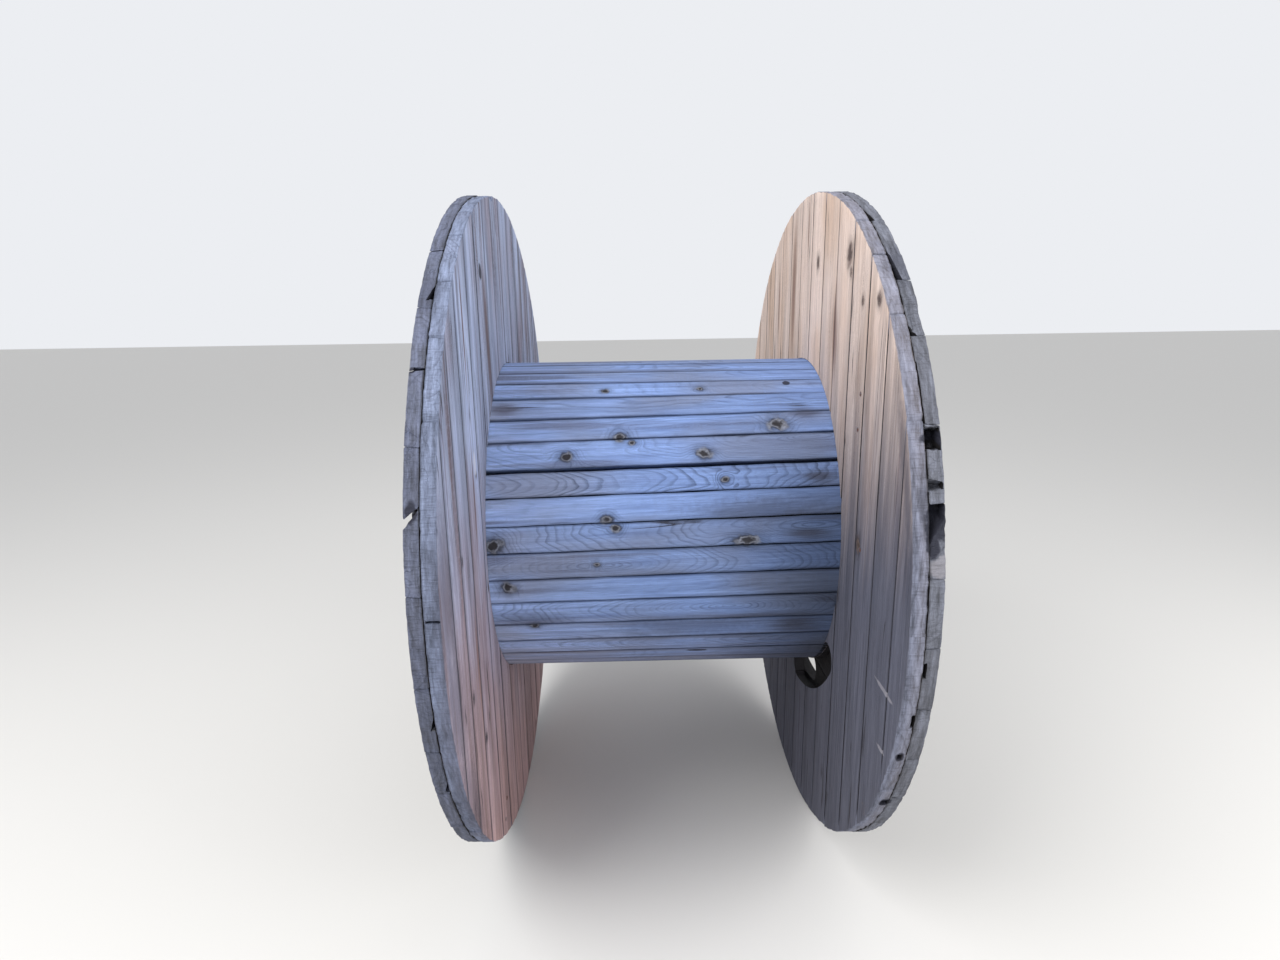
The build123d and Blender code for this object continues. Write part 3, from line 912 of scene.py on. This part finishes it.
# Partly painted light: the warm, pale colours of the right flange's inner face are painted sunlight on
# weathered wood, and its dark low colours are partly painted shade
sunTintedRightWood = {
    **softwood,
    "light": "#f6e2d4", "shade": "#c9b2a6", "warm": "#d6b79f", "warmMost": 0.7, "stain": "#86675a",
    "stainFrom": 0.60, "stainMost": 0.6, "bandRate": 24.0, "bandDark": 0.14, "lowShade": "#42434f",
    "lowLight": "#6e707e", "lowFrom": 0.885, "lowTo": 1.715, "lowMost": 1.0, "lowOutside": 0.45,
    "lowTilt": 0.25, "boardTone": 0.05, "ringDark": 0.16, "checksFrom": 0.54, "dirtWide": 0.007,
    "dirtTone": 0.60, "knots": 0.05, "knot": "#8a7870", "knotEye": "#5a4c47", "rim": "#7d8193",
    "outerRim": "#6c6f7b", "rimLow": 0.80, "pale": "#918f96",
    "seenKnots": knotMarks([
        (0.433, -0.4019, 1.6157, 0.017), (0.433, -0.1179, 1.6135, 0.012), (0.433, -0.575, 0.972, 0.013),
    ], (1.0, 1.0, 1.5)),
    "seenStains": [
        ((0.433, 0.158, 1.55), 1, (0.03, 0.036, 0.28)),
        ((0.433, -0.305, 1.43), -4, (0.03, 0.034, 0.14)),
        ((0.433, -0.002, 1.70), 0, (0.03, 0.010, 0.12)), ((0.433, 0.374, 1.50), 0, (0.03, 0.016, 0.16)),
        ((0.433, -0.575, 0.960), 0, (0.03, 0.035, 0.020)),
        ((0.433, -0.80, 1.05), -3, (0.03, 0.020, 0.20)),
    ],
    "seenRot": [
        ((0.482, -0.870, 1.112), 0, (0.030, 0.06, 0.038)),
        ((0.472, -0.880, 1.072), 0, (0.014, 0.06, 0.026)),
        ((0.482, -0.820, 1.262), 0, (0.030, 0.05, 0.014)),
        ((0.452, -0.850, 0.614), 0, (0.010, 0.03, 0.014)),
        ((0.459, -0.780, 0.453), 0, (0.016, 0.03, 0.016)),
    ],
    "seenDamp": [
        ((0.433, -0.795, 1.25), -20, (0.02, 0.018, 0.09)),
        ((0.433, -0.842, 1.140), -16, (0.02, 0.015, 0.13)),
        ((0.433, -0.862, 1.02), -7, (0.02, 0.012, 0.07)),
        ((0.456, -0.86, 1.150), 0, (0.010, 0.05, 0.045)), ((0.480, -0.60, 1.60), 0, (0.03, 0.08, 0.05)),
    ],
    "seenPale": [
        ((0.433, -0.7918, 0.7286), 2, (0.02, 0.055, 0.0060)),
        ((0.433, -0.7943, 0.5943), -2, (0.02, 0.026, 0.0050)),
        ((0.484, -0.889, 1.030), 0, (0.022, 0.03, 0.018)),
        ((0.492, -0.886, 1.044), 0, (0.012, 0.03, 0.012)),
    ],
}

# The outer layers, out in the weather on both sides, have gone an even silver-grey
outerWood = {
    "boardTone": 0.17, "light": "#b5b6bb", "shade": "#7f8087", "warm": "#8f867f", "stain": "#5c5450",
    "bandDark": 0.22, "lowOutside": 0.5, "lowShade": "#55524f", "lowLight": "#7f7a76", "lowFrom": 0.1,
    "lowTo": 1.1, "lowMost": 0.8,
}


def giveMaterial(piece, material):
    piece.data.materials.clear()
    piece.data.materials.append(material)


giveMaterial(barrel, weatheredWood("weatheredSoftwoodStaves", skyTintedStaveWood))
for side, wood in (("left", skyTintedLeftWood), ("right", sunTintedRightWood)):
    for layer, look in (("InnerBoards", wood), ("OuterBoards", {**wood, **outerWood})):
        name = "weatheredSoftwood" + side.capitalize() + layer
        giveMaterial(flangePieces[side + layer], weatheredWood(name, look))
print("wood finished")


def rustyZinc(name, threadPitch=None):
    # Zinc-plated steel that has dulled to grey, with brown rust breaking through in spots
    material, add, shader = startMaterial(name)
    spot = add("TexCoord").node.outputs["Object"]
    blotch = add("TexNoise", {"Vector": spot, "Scale": 55.0, "Detail": 5.0, "Roughness": 0.65})
    pits = add("TexNoise", {"Vector": spot, "Scale": 620.0, "Detail": 2.0})
    rust = add("MapRange.SMOOTHSTEP", blotch, 0.43, 0.60)
    zinc = add("Mix.RGBA", pits, linearColour("#6d6f73"), linearColour("#8f9195"))
    brown = add("Mix.RGBA", pits, linearColour("#3d2319"), linearColour("#7a452a"))
    height = add("Math.MULTIPLY_ADD", rust, 0.6, pits)
    if threadPitch:
        x = add("SeparateXYZ", spot)
        thread = add("Math.PINGPONG", x, threadPitch / 2)
        height = add("Math.MULTIPLY_ADD", thread, 6 / threadPitch, height)
    fillInputs(shader, {
        "Base Color": add("Mix.RGBA", rust, zinc, brown),
        "Metallic": add("MapRange", rust, 0.0, 1.0, 0.75, 0.0),
        "Roughness": add("MapRange", rust, 0.0, 1.0, 0.45, 0.88),
        "Normal": add("Bump", {"Height": height, "Strength": 0.5, "Distance": 0.0006}),
    })
    return material


steel = rustyZinc("rustedZincPlatedSteel")
threaded = rustyZinc("rustedThreadedZincPlatedSteel", threadPitch=0.0025)
for piece, material in ((rods, threaded), (washers, steel), (nuts, steel)):
    giveMaterial(piece, material)

# Nails

nailLook = {
    "headRadius": 0.0055, "headHeight": 0.0018, "headEased": 0.0007, "sunk": 0.0010, "seed": 9,
    "rings": [(0.16, 10), (0.30, 20), (0.54, 34), (0.70, 44), (0.83, 52)],  # radius and number of nails
    "strayAlong": 0.12, "strayOut": 0.006,  # share of the way to the next nail, and metres
    "noneAngles": (64, 108), "noneReach": (0.43, 0.55),  # where the start hole comes out
    "inner": [  # the few that show on the inner faces: side, place to the back, height above the ground
        (1, -0.5347, 1.3102), (1, -0.5281, 1.2293), (1, -0.5906, 0.9652),
        (-1, -0.4036, 0.2040), (-1, -0.4356, 0.1629),
    ],
}


def driveNails(look):
    # A flat round head with a softened edge, driven just under flush
    head = makePiece(bpy.ops.mesh.primitive_cylinder_add, "nailHead", vertices=10,
                     radius=look["headRadius"], depth=look["headHeight"])
    bevelEdges(head, lambda a, b: a.z > 0 and b.z > 0, look["headEased"], 2)
    rng = random.Random(look["seed"])
    places = [(side, y, z, innerFace, -side) for side, y, z in look["inner"]]
    for side in (-1, 1):
        for radius, count in look["rings"]:
            for number in range(count):
                angle = (number + rng.uniform(-look["strayAlong"], look["strayAlong"])) * 2 * math.pi / count
                r = radius + rng.uniform(-look["strayOut"], look["strayOut"])
                places.append((side, r * math.cos(angle), arborHeight + r * math.sin(angle), outerFace, side))
    heads = []
    for side, y, z, face, facing in places:
        down = math.degrees(math.atan2(arborHeight - z, -y))
        reach = math.hypot(y, z - arborHeight)
        atExit = look["noneAngles"][0] < down < look["noneAngles"][1]
        if side > 0 and face == outerFace and atExit and look["noneReach"][0] < reach < look["noneReach"][1]:
            continue
        twin = copyPiece(head, "nail")
        turn = Matrix.Rotation(math.radians(90 * facing), 4, "Y") @ Matrix.Rotation(rng.uniform(0, 6), 4, "Z")
        sunk = look["headHeight"] / 2 - look["sunk"]
        twin.data.transform(Matrix.Translation((side * face + facing * sunk, y, z)) @ turn)
        heads.append(twin)
    bpy.data.objects.remove(head, do_unlink=True)
    piece = joinPieces(heads, "nailHeads")
    giveMaterial(piece, steel)
    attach(piece, "root")
    return piece


nails = driveNails(nailLook)
print("nails driven, faces:", len(nails.data.polygons))

# Floor, light and camera

studio = {
    "floorColour": "#e4e2de", "worldColour": "#eceef2", "worldStrength": 0.80,
    "key": {"place": (-2.6, -2.4, 4.2), "size": 3.0, "power": 165},
    "fill": {"place": (3.5, -2.0, 2.5), "size": 3.0, "power": 90},
    "view": {"place": (-0.0848, -2.1308, 1.5110), "right": (0.999705, -0.019692, -0.014206),
             "up": (0.018448, 0.235676, 0.971662), "forward": (0.015786, 0.971637, -0.235970), "lens": 20.38},
}

floor = makePiece(bpy.ops.mesh.primitive_plane_add, "studioFloor", size=60)
plaster, _, floorShader = startMaterial("palePlasterFloor")
fillInputs(floorShader, {"Base Color": linearColour(studio["floorColour"]), "Roughness": 0.9})
floor.data.materials.append(plaster)

world = bpy.data.worlds.new("studioWorld")
world.use_nodes = True
sky = world.node_tree.nodes["Background"]
add = partial(addNode, world.node_tree)
path = add("LightPath").node.outputs
seen = path["Is Camera Ray"]
for ray in ("Is Glossy Ray", "Is Transmission Ray"):
    seen = add("Math.MAXIMUM", seen, path[ray])
shown = add("MapRange", seen, 0.0, 1.0, studio["worldStrength"], 1.0)
fillInputs(sky, {"Color": linearColour(studio["worldColour"]), "Strength": shown})
bpy.context.scene.world = world

for name in ("key", "fill"):
    lamp = studio[name]
    bpy.ops.object.light_add(type="AREA", location=lamp["place"])
    light = bpy.context.object
    light.name = name + "Light"
    light.data.size = lamp["size"]
    light.data.energy = lamp["power"]
    light.rotation_euler = (Vector((0, 0, 0.8)) - Vector(lamp["place"])).to_track_quat("-Z", "Y").to_euler()

view = studio["view"]
bpy.ops.object.camera_add(location=view["place"])
camera = bpy.context.object
right, up, forward = Vector(view["right"]), Vector(view["up"]), Vector(view["forward"])
camera.rotation_euler = Matrix((right, up, -forward)).transposed().to_euler()
camera.data.sensor_width = 36
camera.data.lens = view["lens"]
bpy.context.scene.camera = camera
bpy.context.scene.view_settings.view_transform = "Standard"
print("studio ready")
